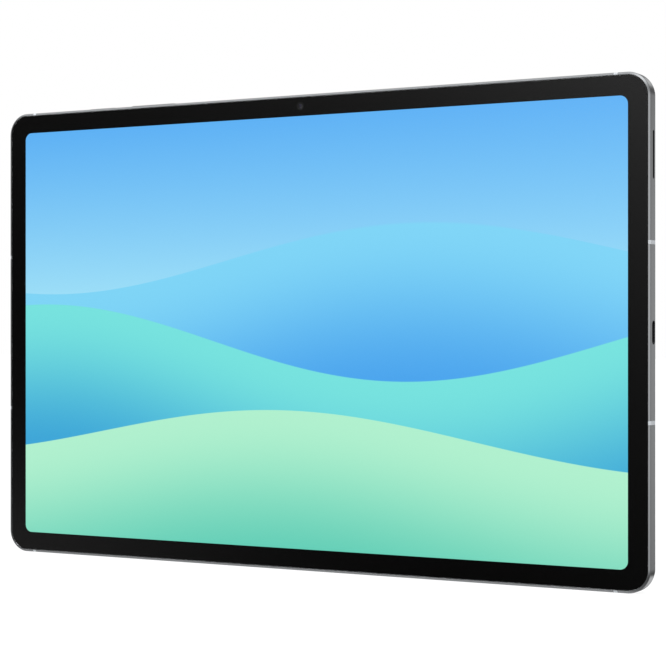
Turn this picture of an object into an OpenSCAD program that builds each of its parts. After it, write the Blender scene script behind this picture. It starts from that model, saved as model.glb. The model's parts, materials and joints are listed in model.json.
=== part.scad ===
// Tablet computer, standing upright on one long edge with its screen towards -Y.
// Every sub-part is drawn lying flat (x across, y up the screen, z out of the glass, all from
// the middle of the body) and then stood up, so that the origin is under its bottom edge.

/* [Body] */
// Width across the long side
body_w = 300.8; // [290:0.1:320]
// Height of the short side
body_h = 194.7; // [190:0.1:210]
// Thickness from the glass to the rear cover
body_d = 6; // [6:0.1:7]
// Radius of the outer corners
corner_r = 9.3; // [8:0.1:12]
// Rim of bare metal around the cover glass
rim_w = 0.9; // [0.8:0.05:1]
// Thickness of the frame's side walls
wall_t = 1.8; // [1.6:0.1:2]

/* [Screen stack] */
// Width of the lit picture
screen_w = 283.5; // [270:0.1:284]
// Height of the lit picture
screen_h = 177.6; // [165:0.1:178]
// Radius of the picture's corners
screen_r = 3.35; // [1:0.05:5]
// Thickness of the cover glass
glass_t = 0.6; // [0.5:0.05:0.7]
// Thickness of the ink, the adhesive and the other films
film_t = 0.1; // [0.1:0.01:0.12]
// Thickness of the display panel
panel_t = 0.7; // [0.5:0.05:0.7]
// Thickness of the backlight
backlight_t = 0.6; // [0.4:0.05:0.6]
// Thickness of the middle plate
plate_t = 0.5; // [0.4:0.05:0.5]
// Thickness of the rear cover
cover_t = 0.8; // [0.6:0.05:0.8]

/* [Buttons] */
// Middle of the power button along the top edge
power_x = -101.1; // [-103:0.1:-100]
// Length of the power button
power_len = 13.8; // [12:0.1:15]
// Middle of the volume rocker along the top edge
volume_x = -74.4; // [-76:0.1:-73]
// Length of the volume rocker
volume_len = 22.3; // [20:0.1:24]
// Width of both buttons
button_w = 2; // [1.8:0.05:2]
// How far the power button stands out
power_rise = 0.35; // [0.2:0.05:0.6]
// How far the volume rocker stands out
volume_rise = 0.45; // [0.2:0.05:0.6]

/* [Sockets and slots] */
// Inside width of the charging socket
usb_w = 8.34; // [8.3:0.01:8.4]
// Inside height of the charging socket
usb_h = 2.56; // [2.5:0.01:2.6]
// Middle of each speaker slot above the middle of the body
speaker_y = 66.35; // [60:0.1:70]
// Length of each speaker slot
speaker_len = 18.1; // [12:0.1:20]
// Middle of the card tray along the top edge
tray_x = -42; // [-44:0.5:-40]
// Length of the card tray's face
tray_len = 15; // [14.8:0.1:15.4]
// Middle of the rear camera across the body
rear_camera_x = -128; // [-129:0.5:-126]
// Middle of the rear camera above the middle of the body
rear_camera_y = 80; // [76:0.5:81]

/* [Antenna bands] */
// Width of one band
band_w = 1.5; // [1:0.1:3]
// Height of the side bands above and below the middle
band_y = 33.6; // [20:0.5:40]
// Distance of the top and bottom bands from the middle
band_x = 136.6; // [134:0.2:138]

/* [Hidden] */
half_w = body_w / 2;
half_h = body_h / 2;

// Levels through the thickness, counted outwards from the middle of the body.
glass_z = body_d / 2 - glass_t;
film_z = glass_z - film_t;
panel_z = film_z - panel_t;
plate_top_z = panel_z - backlight_t;
plate_z = plate_top_z - plate_t;
board_top_z = plate_z - film_t;
board_t = 0.5;
board_z = board_top_z - board_t;
cover_z = cover_t - body_d / 2;
seat_z = cover_z + film_t;
lip_z = seat_z + 0.7;
ledge_top_z = film_z - 2 * film_t;

// Edges, counted inwards from the outer faces of the frame.
glass_gap = 0.05;
cover_in = 1.2;
lip_in = 2.6;
ledge_in = 4.8;
band_depth = 1;
fine = 96;
small = 48;

// Colours
metal_grey = [0.5, 0.51, 0.52];
steel_grey = [0.66, 0.67, 0.69];
ink_black = [0.03, 0.03, 0.035];
board_green = [0.05, 0.22, 0.16];
film_amber = [0.45, 0.26, 0.06];
chip_black = [0.09, 0.09, 0.1];

// Controls: one level for the two buttons and one for the card tray.
button_z = -0.2;
button_gap = 0.1;
stem_in = wall_t + 0.05;
rocker_in = wall_t + 0.35;
flange_t = 0.6;
flange_over = 1.2;
dome_in = 3.05;
flex_in = 3.4;
bracket_in = flex_in + film_t;
bracket_t = 0.4;
rocker_nub_x = 7;
fulcrum_r = 0.35;
tray_z = -0.55;
tray_w = 1.5;
tray_t = 0.7;
tray_head_t = 1.2;
tray_end_y = 73.4;
tray_left = -7;
tray_right = 4.8;
rod_x = tray_x + 6.2;
rod_r = 0.3;
pinhole_r = 0.45;
rod_end_y = 72;
lever_x = tray_x + 1.35;
lever_y = 71.3;
lever_w = 1;
lever_pin_r = 0.5;

// Sockets and slots
usb_z = -0.55;
usb_wall = 0.2;
usb_in = 0.45;
usb_len = 7.1;
contact_count = 12;
contact_pitch = 0.5;
slot_w = 1.5;
slot_z = -0.5;
mesh_in = 0.45;
mic_r = 0.4;
mic_x = 24;
mic_y = -20;
front_camera_y = half_h - 4.75;
front_camera_r = 2.1;
camera_ring_r = 6.6;
camera_ring_rise = 1;
camera_hole_r = 6;
flash_x = rear_camera_x + 12;
flash_r = 1.7;

// The frame's cross-section: the distance in from its outer face, and the level.
// A chamfer and a quarter rounding lead from the glass to the flat side, and a rounding
// of its own leads from there to the rear cover.
front_round = 0.35;
chamfer_angle = 30;
rear_round = 0.8;
arc_steps = 6;
chamfer_in = front_round * (1 - sin(chamfer_angle));
chamfer_z = body_d / 2 - (rim_w - chamfer_in) * tan(chamfer_angle);
front_arc = [for (i = [1:arc_steps])
  let (t = chamfer_angle + (90 - chamfer_angle) * i / arc_steps)
  [front_round * (1 - sin(t)), chamfer_z - front_round * (cos(chamfer_angle) - cos(t))]];
rear_arc = [for (i = [0:arc_steps]) let (t = 90 * i / arc_steps)
  [rear_round * (1 - cos(t)), rear_round * (1 - sin(t)) - body_d / 2]];
frame_profile = concat(
  [[rim_w, body_d / 2], [chamfer_in, chamfer_z]], front_arc, rear_arc,
  [[cover_in, -body_d / 2], [cover_in, seat_z], [lip_in, seat_z], [lip_in, lip_z],
   [wall_t, lip_z], [wall_t, plate_top_z], [ledge_in, plate_top_z], [ledge_in, ledge_top_z],
   [rim_w, ledge_top_z]]);

module stand() {
  translate([0, 0, half_h]) rotate([90, 0, 0]) children();
}

// A box between two x values, two y values and two levels.
module block(x, y, z) {
  translate([x[0], y[0], z[0]]) cube([x[1] - x[0], y[1] - y[0], z[1] - z[0]]);
}

module rounded_rect(hx, hy, r) {
  square([2 * (hx - r), 2 * hy], center = true);
  square([2 * hx, 2 * (hy - r)], center = true);
  for (sx = [-1, 1], sy = [-1, 1])
    translate([sx * (hx - r), sy * (hy - r)]) circle(r, $fn = fine);
}

module pill(length, width) {
  square([length - width, width], center = true);
  for (s = [-1, 1]) translate([s * (length - width) / 2, 0]) circle(width / 2, $fn = fine);
}

// A rounded sheet that stops a given distance inside the frame's outer faces.
module sheet(inset, z) {
  translate([0, 0, z[0]]) linear_extrude(z[1] - z[0])
    rounded_rect(half_w - inset, half_h - inset, corner_r - inset);
}

// A rounded ring between two such distances.
module ring_sheet(inset, z) {
  translate([0, 0, z[0]]) linear_extrude(z[1] - z[0]) difference() {
    rounded_rect(half_w - inset[0], half_h - inset[0], corner_r - inset[0]);
    rounded_rect(half_w - inset[1], half_h - inset[1], corner_r - inset[1]);
  }
}

// Sweeps a cross-section around the four sides and the four corners.
module ring_sweep(points) {
  for (s = [0, 1]) mirror([s, 0, 0]) translate([half_w, 0, 0]) rotate([90, 0, 0])
    linear_extrude(body_h - 2 * corner_r, center = true) polygon([for (p = points) [-p[0], p[1]]]);
  for (s = [0, 1]) mirror([0, s, 0]) translate([0, half_h, 0]) rotate([90, 0, 90])
    linear_extrude(body_w - 2 * corner_r, center = true) polygon([for (p = points) [-p[0], p[1]]]);
  for (k = [0:3]) {
    sx = k == 0 || k == 3 ? 1 : -1;
    sy = k < 2 ? 1 : -1;
    translate([sx * (half_w - corner_r), sy * (half_h - corner_r), 0]) rotate([0, 0, 90 * k])
      rotate_extrude(angle = 90, $fn = fine) polygon([for (p = points) [corner_r - p[0], p[1]]]);
  }
}

// A pill-shaped prism that goes into the top edge, between two distances from its face.
module top_pill(x, z, length, width, inwards) {
  translate([x, half_h - inwards[0], z]) rotate([90, 0, 0])
    linear_extrude(inwards[1] - inwards[0]) pill(length, width);
}

// The same on the right-hand edge.
module side_pill(y, z, length, width, inwards) {
  translate([half_w - inwards[0], y, z]) rotate([0, -90, 0])
    linear_extrude(inwards[1] - inwards[0]) rotate([0, 0, 90]) pill(length, width);
}

module on_left() {
  mirror([1, 0, 0]) children();
}

module band_slots() {
  for (sx = [-1, 1], sy = [-1, 1]) {
    translate([sx * half_w, sy * band_y, 0])
      cube([2 * band_depth, band_w, 2 * body_d], center = true);
    translate([sx * band_x, sy * half_h, 0])
      cube([band_w, 2 * band_depth, 2 * body_d], center = true);
  }
}

module frame() {
  through = [-1, wall_t + 1];
  color(metal_grey) stand() difference() {
    ring_sweep(frame_profile);
    band_slots();
    side_pill(0, usb_z, usb_w + 2 * usb_wall + 0.14, usb_h + 2 * usb_wall + 0.14, through);
    block([half_w - ledge_in - 1, half_w - wall_t], [-5, 5], [seat_z, plate_top_z + film_t]);
    side_pill(speaker_y, slot_z, speaker_len, slot_w, through);
    on_left() side_pill(speaker_y, slot_z, speaker_len, slot_w, through);
    top_pill(power_x, button_z, power_len + 2 * button_gap, button_w + 2 * button_gap, through);
    top_pill(volume_x, button_z, volume_len + 2 * button_gap, button_w + 2 * button_gap, through);
    top_pill(tray_x, tray_z, tray_len + 2 * button_gap, tray_w + 2 * button_gap, through);
    translate([mic_x, half_h + 1, slot_z]) rotate([90, 0, 0])
      cylinder(r = mic_r, h = wall_t + 2, $fn = small);
    translate([-half_w - 1, mic_y, slot_z]) rotate([0, 90, 0])
      cylinder(r = mic_r, h = wall_t + 2, $fn = small);
    block([-4, 4], [half_h - ledge_in - 1, half_h - wall_t], [plate_top_z - 1, film_z]);
  }
}

module antenna_bands() {
  color([0.66, 0.68, 0.7]) stand() intersection() {
    ring_sweep(frame_profile);
    band_slots();
  }
}

module cover_glass() {
  color([0.7, 0.8, 0.85, 0.35]) stand() sheet(rim_w + glass_gap, [glass_z, body_d / 2]);
}

module border_ink() {
  color(ink_black) stand() translate([0, 0, film_z]) linear_extrude(film_t) difference() {
    rounded_rect(half_w - rim_w - 0.2, half_h - rim_w - 0.2, corner_r - rim_w - 0.2);
    rounded_rect(screen_w / 2, screen_h / 2, screen_r);
    translate([0, front_camera_y]) circle(1.65, $fn = small);
  }
}

module optical_adhesive() {
  color([0.85, 0.9, 0.92, 0.4]) stand() translate([0, 0, film_z]) linear_extrude(film_t)
    rounded_rect(screen_w / 2, screen_h / 2, screen_r);
}

// The panel reaches a little under the ink on all sides.
module panel_block(z, inset) {
  translate([0, 0, z[0]]) linear_extrude(z[1] - z[0])
    rounded_rect(screen_w / 2 + 2.5 - inset, screen_h / 2 + 1.5 - inset, screen_r);
}

module display_panel() {
  color([0.35, 0.75, 0.85]) stand() panel_block([panel_z, film_z], 0);
}

module backlight_unit() {
  color([0.9, 0.9, 0.88]) stand() panel_block([plate_top_z, panel_z], 0);
}

module display_gasket() {
  color([0.15, 0.15, 0.16]) stand() difference() {
    ring_sheet([rim_w + 0.4, ledge_in - 0.3], [ledge_top_z, film_z]);
    block([-4, 4], [half_h - ledge_in - 1, half_h - wall_t + 1], [ledge_top_z - 1, film_z + 1]);
  }
}

// Leaves the panel's lower edge, passes the middle plate and turns back behind it.
module display_flex() {
  edge_y = -screen_h / 2 - 1.5;
  color(film_amber) stand() {
    block([-30, 30], [edge_y - 1.4, edge_y], [panel_z + 0.15, panel_z + 0.15 + film_t]);
    block([-30, 30], [edge_y - 1.5, edge_y - 1.4], [board_top_z - film_t, panel_z + 0.15 + film_t]);
    block([-30, 30], [edge_y - 1.4, edge_y + 7], [board_top_z - film_t, board_top_z]);
  }
}

module display_driver_board() {
  color(board_green) stand() {
    block([-44, 44], [1 - half_h + ledge_in, 18 - half_h], [board_top_z - 0.7, board_top_z - film_t]);
    for (x = [-26, 0, 26]) block([x - 6, x + 6], [9 - half_h, 12 - half_h],
      [board_top_z - 1.5, board_top_z - 0.7]);
  }
}

// Runs up between the two batteries and laps onto the main board.
module display_cable() {
  color(film_amber) stand() {
    block([-3, 3], [18.1 - half_h, 55.6], [board_top_z, plate_z]);
    block([-3, 3], [55.6, 55.7], [board_z - film_t, plate_z]);
    block([-3, 3], [55.7, 62], [board_z - film_t, board_z]);
    block([-2.6, 2.6], [57, 61], [board_z - 0.7, board_z - film_t]);
  }
}

screw_spots = [
  [-58, 60], [-58, 88], [-20, 86], [20, 60], [24, 88], [70, 60], [74, 88], [116, 60], [116, 88],
  [124, -22], [124, 22]
];
screw_r = 0.6;

module screw_holes() {
  for (p = screw_spots) translate([p[0], p[1], board_z - 1])
    cylinder(r = screw_r + 0.05, h = 3, $fn = small);
}

module middle_plate() {
  color(steel_grey) stand() difference() {
    sheet(wall_t + 0.2, [plate_z, plate_top_z]);
    block([-4, 4], [half_h - 7.2, half_h], [-1, 2]);
    block([half_w - 9.3, half_w], [-5.2, 5.2], [-1, 2]);
    block([-115, -56], [half_h - 4.2, half_h], [-1, 2]);
    block([-31, 31], [-screen_h / 2 - 3.2, -screen_h / 2 - 2.7], [-1, 2]);
    screw_holes();
  }
}

module rear_cover() {
  color(metal_grey) stand() difference() {
    sheet(cover_in + glass_gap, [-body_d / 2, cover_z]);
    translate([rear_camera_x, rear_camera_y, -body_d])
      cylinder(r = camera_hole_r, h = body_d, $fn = fine);
    translate([flash_x, rear_camera_y, -body_d]) cylinder(r = flash_r, h = body_d, $fn = fine);
  }
}

module cover_adhesive() {
  color([0.2, 0.2, 0.2]) stand() ring_sheet([cover_in + 0.1, lip_in - 0.1], [cover_z, seat_z]);
}

module graphite_sheet() {
  color([0.16, 0.16, 0.18]) stand() block([-110, 110], [-70, 84], [cover_z, seat_z]);
}

module battery_cell() {
  block([4, 118], [-78, 44], [-1.9, board_top_z - film_t]);
}

module battery_left() {
  color([0.2, 0.21, 0.23]) stand() on_left() battery_cell();
}

module battery_right() {
  color([0.2, 0.21, 0.23]) stand() battery_cell();
}

// Pull-out strips of tape hold the cells to the middle plate.
module battery_tape() {
  color([0.9, 0.9, 0.86]) stand() for (x = [-96, -61, -26, 26, 61, 96])
    block([x - 8, x + 8], [-76, 42], [board_top_z - film_t, plate_z]);
}

module battery_board() {
  color(board_green) stand() {
    block([-92, -6], [44.5, 50.5], [board_z, board_top_z]);
    block([-30, -14], [50.5, 55.8], [board_z, board_z + film_t]);
    for (x = [-84, -64]) block([x - 5, x + 5], [45.5, 49.5], [board_z - 0.9, board_z]);
  }
}

module board_outline(z) {
  difference() {
    block([-62, 120], [56, 91], z);
    block([-6, 6], [86.5, 92], [z[0] - 1, z[1] + 1]);
    screw_holes();
  }
}

module insulating_film() {
  color([0.1, 0.1, 0.1]) stand() board_outline([board_top_z, plate_z]);
}

module main_board() {
  color(board_green) stand() board_outline([board_z, board_top_z]);
}

// One chip on the rear of the main board.
module chip(x, y, w, h, t) {
  block([x - w / 2, x + w / 2], [y - h / 2, y + h / 2], [board_z - t, board_z]);
}

module processor() {
  color(chip_black) stand() chip(44, 74, 14, 14, 0.9);
}

module memory_chips() {
  color(chip_black) stand() {
    chip(60, 74, 11.5, 13, 0.9);
    chip(76, 70, 11, 10, 0.8);
  }
}

module power_chips() {
  color(chip_black) stand() {
    chip(12, 72, 7, 7, 0.7);
    chip(22, 72, 6, 6, 0.7);
    chip(96, 74, 9, 9, 0.8);
  }
}

// A pressed steel can, open towards the board.
module can(x, y, w, h) {
  difference() {
    chip(x, y, w, h, 1.4);
    chip(x, y, w - 0.4, h - 0.4, 1.2);
  }
}

module shield_cans() {
  color(steel_grey) stand() {
    can(60, 73.5, 50, 20);
    can(16, 72, 22, 14);
    can(97, 74, 16, 18);
  }
}

module board_screws() {
  color(steel_grey) stand() for (p = screw_spots) translate([p[0], p[1], 0]) {
    translate([0, 0, board_z - 0.5]) cylinder(r = 1.25, h = 0.5, $fn = small);
    translate([0, 0, board_z]) cylinder(r = screw_r, h = plate_top_z - 0.05 - board_z, $fn = small);
  }
}

// Plastic blocks by the gaps in the frame, each with its antenna on the rear face.
module antenna_pair(z) {
  block([121, 141], [half_h - 7, half_h - 2.9], z);
  block([127, 141], [-86, -50], z);
}

module antenna_carriers() {
  color([0.85, 0.85, 0.83]) stand() {
    antenna_pair([-1.8, plate_z]);
    on_left() antenna_pair([-1.8, plate_z]);
  }
}

module antenna_flexes() {
  color(film_amber) stand() {
    antenna_pair([-1.9, -1.8]);
    on_left() antenna_pair([-1.9, -1.8]);
  }
}

module sub_board() {
  color(board_green) stand() difference() {
    block([121, half_w - 2.5], [-26, 26], [board_z, board_top_z]);
    block([half_w - 8.2, half_w], [-4.6, 4.6], [-1, 1]);
    screw_holes();
  }
}

module sub_board_cable() {
  color(film_amber) stand() {
    block([118.6, 120.4], [18, 62], [board_z - film_t, board_z]);
    block([118.6, 130], [16, 20], [board_z - film_t, board_z]);
    block([125.5, 130], [16.2, 19.8], [board_z - 0.7, board_z - film_t]);
    block([113, 120.4], [62, 66], [board_z - film_t, board_z]);
    block([113.2, 117], [62.2, 65.8], [board_z - 0.7, board_z - film_t]);
  }
}

module usb_shell() {
  color(steel_grey) stand() difference() {
    side_pill(0, usb_z, usb_w + 2 * usb_wall, usb_h + 2 * usb_wall, [usb_in, usb_in + usb_len]);
    side_pill(0, usb_z, usb_w, usb_h, [usb_in - 1, usb_in + usb_len - 1]);
  }
}

module usb_tongue() {
  root = half_w - usb_in - usb_len + 1;
  color(ink_black) stand() {
    block([root, root + 4.9], [-3.34, 3.34], [usb_z - 0.35, usb_z + 0.35]);
    block([root, root + 0.9], [-3.6, 3.6], [usb_z - 0.75, usb_z + 0.75]);
  }
}

module usb_contacts() {
  root = half_w - usb_in - usb_len + 1.9;
  color([0.83, 0.66, 0.32]) stand() for (k = [0:contact_count - 1], s = [-1, 1]) {
    y = (k - (contact_count - 1) / 2) * contact_pitch;
    z = usb_z + s * 0.37;
    block([root, root + 3.6], [y - 0.13, y + 0.13], [z - 0.02, z + 0.02]);
  }
}

// A side-firing speaker box with a short duct towards its slot.
module speaker() {
  block([half_w - 14.3, half_w - 2.9], [47, 86], [-1.9, plate_z - 0.1]);
  block([half_w - 2.9, half_w - 2.1], [speaker_y - 10, speaker_y + 10], [-1.35, 0.4]);
}

module speaker_right() {
  color([0.13, 0.13, 0.14]) stand() speaker();
}

module speaker_left() {
  color([0.13, 0.13, 0.14]) stand() on_left() speaker();
}

// The mesh fills the slot and has a flange behind the wall.
module speaker_mesh() {
  side_pill(speaker_y, slot_z, speaker_len - 0.1, slot_w - 0.1, [mesh_in, wall_t]);
  side_pill(speaker_y, slot_z, speaker_len + 1.6, slot_w + 0.2, [wall_t, wall_t + 0.3]);
}

module speaker_mesh_right() {
  color(ink_black) stand() speaker_mesh();
}

module speaker_mesh_left() {
  color(ink_black) stand() on_left() speaker_mesh();
}

module microphone_top() {
  color(steel_grey) stand()
    block([mic_x - 2, mic_x + 2], [half_h - 4.8, half_h - wall_t], [-1.3, board_z]);
}

module microphone_left() {
  color(steel_grey) stand()
    block([-half_w + wall_t, -half_w + 4.8], [mic_y - 2, mic_y + 2], [-1.3, board_z]);
}

module front_camera() {
  color(chip_black) stand() {
    block([-3.4, 3.4], [half_h - 8.2, half_h - 2.2], [lip_z + 0.1, plate_z - 0.2]);
    difference() {
      translate([0, front_camera_y, plate_z - 0.2])
        cylinder(r = front_camera_r, h = film_z - plate_z + 0.15, $fn = small);
      translate([0, front_camera_y, 1]) cylinder(r = 1.05, h = 3, $fn = small);
    }
  }
}

module front_camera_lens() {
  color([0.12, 0.12, 0.3]) stand() translate([0, front_camera_y, 1])
    cylinder(r = 1, h = film_z - 1.2, $fn = small);
}

module rear_camera() {
  color(chip_black) stand() translate([rear_camera_x, rear_camera_y, 0]) {
    block([-5.4, 5.4], [-5.4, 5.4], [-1.6, plate_z - 0.1]);
    difference() {
      translate([0, 0, -3.3]) cylinder(r = 4.4, h = 1.7, $fn = fine);
      translate([0, 0, -3.4]) cylinder(r = 2.4, h = 1, $fn = fine);
    }
  }
}

module rear_camera_cable() {
  color(film_amber) stand() {
    block([rear_camera_x + 5.4, -54], [rear_camera_y - 6, rear_camera_y],
      [board_z - film_t, board_z]);
    block([-60, -54.2], [rear_camera_y - 5.8, rear_camera_y - 0.2],
      [board_z - 0.7, board_z - film_t]);
  }
}

// A turned ring: its lip stands on the cover and its spigot fills the cover's hole.
module rear_camera_ring() {
  back = -body_d / 2;
  color(steel_grey) stand() translate([rear_camera_x, rear_camera_y, 0])
    rotate_extrude($fn = fine) polygon([
      [4.6, back + 0.9], [4.6, back - 0.45], [5.2, back - 0.45], [5.2, back - 0.85],
      [5.35, back - camera_ring_rise], [camera_ring_r - 0.3, back - camera_ring_rise],
      [camera_ring_r, back - camera_ring_rise + 0.3], [camera_ring_r, back],
      [camera_hole_r - 0.05, back], [camera_hole_r - 0.05, back + 0.9]
    ]);
}

module rear_camera_glass() {
  color([0.1, 0.1, 0.14, 0.6]) stand()
    translate([rear_camera_x, rear_camera_y, -body_d / 2 - 0.85])
      cylinder(r = 5.15, h = 0.4, $fn = fine);
}

module flash_led() {
  color([0.95, 0.9, 0.6]) stand() {
    block([flash_x - 1.6, flash_x + 1.6], [rear_camera_y - 6, rear_camera_y + 1.6],
      [board_z - 0.4, board_z - film_t]);
    block([flash_x - 1, flash_x + 1], [rear_camera_y - 1, rear_camera_y + 1],
      [board_z - 1, board_z - 0.4]);
  }
}

module flash_lens() {
  color([0.95, 0.95, 0.85, 0.6]) stand() translate([flash_x, rear_camera_y, -body_d / 2]) {
    cylinder(r = flash_r - 0.05, h = cover_t, $fn = fine);
    translate([0, 0, cover_t]) cylinder(r = flash_r + 0.6, h = 0.4, $fn = fine);
  }
}

// A pill through the wall, a longer flange behind it and nubs that reach for the domes.
module push_button(x, length, rise, flange, nubs, nub_end) {
  top_pill(x, button_z, length, button_w, [-rise, flange]);
  top_pill(x, button_z, length + 2 * flange_over, button_w, [flange, flange + flange_t]);
  for (dx = nubs) translate([x + dx, half_h - flange - flange_t, button_z]) rotate([90, 0, 0])
    cylinder(r = 0.6, h = nub_end - flange - flange_t, $fn = small);
}

module power_button() {
  color(metal_grey) stand()
    push_button(power_x, power_len, power_rise, stem_in, [0], dome_in - 0.35);
}

// Rocks on a round rib across the back of its flange.
module volume_rocker() {
  color(metal_grey) stand() {
    push_button(volume_x, volume_len, volume_rise, rocker_in,
      [-rocker_nub_x, rocker_nub_x], dome_in - 0.22);
    translate([volume_x, half_h - rocker_in - flange_t, button_z])
      cylinder(r = fulcrum_r, h = button_w, center = true, $fn = small);
  }
}

module dome_switches() {
  color(steel_grey) stand() for (x = [power_x, volume_x - rocker_nub_x, volume_x + rocker_nub_x])
    translate([x, half_h - dome_in, button_z]) rotate([90, 0, 0]) {
      cylinder(r = 0.5, h = 0.2, $fn = small);
      translate([0, 0, 0.12]) cylinder(r = 0.9, h = flex_in - dome_in - 0.12, $fn = small);
    }
}

module button_flex() {
  color(film_amber) stand() {
    difference() {
      block([-111, -60], [half_h - bracket_in, half_h - flex_in], [-1.1, 0.7]);
      block([volume_x - 0.8, volume_x + 0.8], [half_h - bracket_in - 1, half_h], [-0.9, 0.5]);
    }
    block([-66, -60], [half_h - bracket_in - 8, half_h - bracket_in], [board_z - film_t, board_z]);
  }
}

// A bent strip that carries the flex, stands against the wall at both ends and has a post
// for the rocker's rib.
module button_bracket() {
  inner = half_h - bracket_in - bracket_t;
  color(steel_grey) stand() difference() {
    union() {
      block([-114, -57], [inner, half_h - bracket_in], [-1.2, 0.8]);
      for (x = [-114, -58]) block([x, x + 1], [inner, half_h - wall_t], [-1.2, 0.8]);
      block([volume_x - 0.7, volume_x + 0.7],
        [inner, half_h - rocker_in - flange_t - fulcrum_r - 0.05], [-0.8, 0.4]);
    }
    block([-66.1, -59.9], [inner - 1, half_h], [board_z - film_t - 0.05, board_z + 0.05]);
  }
}

// A pressed sleeve around the tray, with two guides for the eject rod.
module card_socket() {
  x = [tray_x + tray_left - 0.5, tray_x + tray_right + 0.5];
  color(steel_grey) stand() {
    difference() {
      block(x, [tray_end_y + 0.2, 93], [tray_z - 0.75, board_z]);
      block([x[0] + 0.25, x[1] - 0.25], [tray_end_y - 1, 94], [tray_z - 0.5, board_z - 0.1]);
    }
    for (y = [77, 88]) difference() {
      block([x[1], rod_x + 0.9], [y, y + 2], [tray_z - 0.75, board_z]);
      translate([rod_x, y + 3, tray_z]) rotate([90, 0, 0]) cylinder(r = rod_r + 0.05, h = 4, $fn = small);
    }
  }
}

module lever_pin() {
  color(steel_grey) stand() translate([lever_x, lever_y, 0]) {
    translate([0, 0, tray_z - 0.45]) cylinder(r = lever_pin_r, h = board_z - tray_z + 0.45, $fn = small);
    translate([0, 0, tray_z - 0.6]) cylinder(r = 0.9, h = 0.15, $fn = small);
  }
}

// The face, the plate behind it and the pocket for one small card.
module card_tray() {
  x = [tray_x + tray_left, tray_x + tray_right];
  color(metal_grey) stand() difference() {
    union() {
      top_pill(tray_x, tray_z, tray_len, tray_w, [0, tray_head_t]);
      block(x, [tray_end_y, half_h - tray_head_t], [tray_z - tray_t / 2, tray_z + tray_t / 2]);
    }
    block([x[0] + 1.4, x[1] - 1.4], [tray_end_y + 1.8, tray_end_y + 14.3], [-2, 1]);
    translate([rod_x, half_h + 1, tray_z]) rotate([90, 0, 0])
      cylinder(r = pinhole_r, h = tray_head_t + 2, $fn = small);
  }
}

module tray_seal() {
  back = tray_head_t + 0.15;
  color([0.75, 0.2, 0.15]) stand() difference() {
    top_pill(tray_x - 0.75, tray_z, tray_len - 1.9, tray_w - 0.1, [back, back + 0.35]);
    block([tray_x + tray_left - 0.05, tray_x + tray_right + 0.05], [half_h - 3, half_h],
      [tray_z - tray_t / 2 - 0.02, tray_z + tray_t / 2 + 0.02]);
  }
}

module eject_rod() {
  color(steel_grey) stand() translate([rod_x, half_h - tray_head_t - 0.3, tray_z])
    rotate([90, 0, 0]) cylinder(r = rod_r, h = half_h - tray_head_t - 0.3 - rod_end_y, $fn = small);
}

module eject_lever() {
  reach = rod_x - lever_x;
  color(steel_grey) stand() translate([lever_x, lever_y, tray_z - 0.25]) linear_extrude(0.5)
    difference() {
      union() {
        pill(2 * reach + lever_w, lever_w);
        circle(1.1, $fn = small);
      }
      circle(lever_pin_r + 0.05, $fn = small);
    }
}

frame();
antenna_bands();
cover_glass();
border_ink();
optical_adhesive();
display_panel();
backlight_unit();
display_gasket();
display_flex();
display_driver_board();
display_cable();
middle_plate();
rear_cover();
cover_adhesive();
graphite_sheet();
battery_left();
battery_right();
battery_tape();
battery_board();
insulating_film();
main_board();
processor();
memory_chips();
power_chips();
shield_cans();
board_screws();
antenna_carriers();
antenna_flexes();
sub_board();
sub_board_cable();
usb_shell();
usb_tongue();
usb_contacts();
speaker_left();
speaker_right();
speaker_mesh_left();
speaker_mesh_right();
microphone_top();
microphone_left();
front_camera();
front_camera_lens();
rear_camera();
rear_camera_cable();
rear_camera_ring();
rear_camera_glass();
flash_led();
flash_lens();
power_button();
volume_rocker();
dome_switches();
button_flex();
button_bracket();
card_socket();
lever_pin();
card_tray();
tray_seal();
eject_rod();
eject_lever();
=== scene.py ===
import json
import math

import bmesh
import bpy
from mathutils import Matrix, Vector


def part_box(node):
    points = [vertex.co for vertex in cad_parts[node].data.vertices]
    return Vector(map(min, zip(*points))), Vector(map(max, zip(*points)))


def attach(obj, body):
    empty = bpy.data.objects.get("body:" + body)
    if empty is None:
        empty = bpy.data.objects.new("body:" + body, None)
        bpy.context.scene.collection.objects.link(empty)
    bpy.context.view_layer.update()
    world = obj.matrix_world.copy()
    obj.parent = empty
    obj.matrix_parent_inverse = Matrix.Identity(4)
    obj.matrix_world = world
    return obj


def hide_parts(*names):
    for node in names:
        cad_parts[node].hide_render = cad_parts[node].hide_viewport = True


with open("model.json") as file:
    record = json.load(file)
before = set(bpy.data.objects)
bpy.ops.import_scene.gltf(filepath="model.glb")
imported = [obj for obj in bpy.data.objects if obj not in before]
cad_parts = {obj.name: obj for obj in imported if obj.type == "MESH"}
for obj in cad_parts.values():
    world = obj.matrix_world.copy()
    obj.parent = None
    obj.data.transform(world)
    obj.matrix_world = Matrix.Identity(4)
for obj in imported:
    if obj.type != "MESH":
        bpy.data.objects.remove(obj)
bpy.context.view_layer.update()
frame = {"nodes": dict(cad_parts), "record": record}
print("frame loaded")

frameLow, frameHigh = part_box("frame")
halfWidth = (frameHigh.x - frameLow.x) / 2
halfHeight = (frameHigh.z - frameLow.z) / 2
halfDepth = (frameHigh.y - frameLow.y) / 2
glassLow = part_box("cover_glass")[0]
pictureLow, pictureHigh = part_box("optical_adhesive")
mainBody = "tablet_body"


# ---- places: the tablet seen from its front, measured from its middle ----
def place(x, y, level):
    # x across, y up the screen, level out of the glass
    return Vector((x, -level, halfHeight + y))


def edgePlace(side, along, level, depth):
    # a point on one of the four edges, some depth in from the metal's face
    if side == "top":
        return place(along, halfHeight - depth, level)
    if side == "bottom":
        return place(along, depth - halfHeight, level)
    if side == "right":
        return place(halfWidth - depth, along, level)
    return place(depth - halfWidth, along, level)


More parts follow.
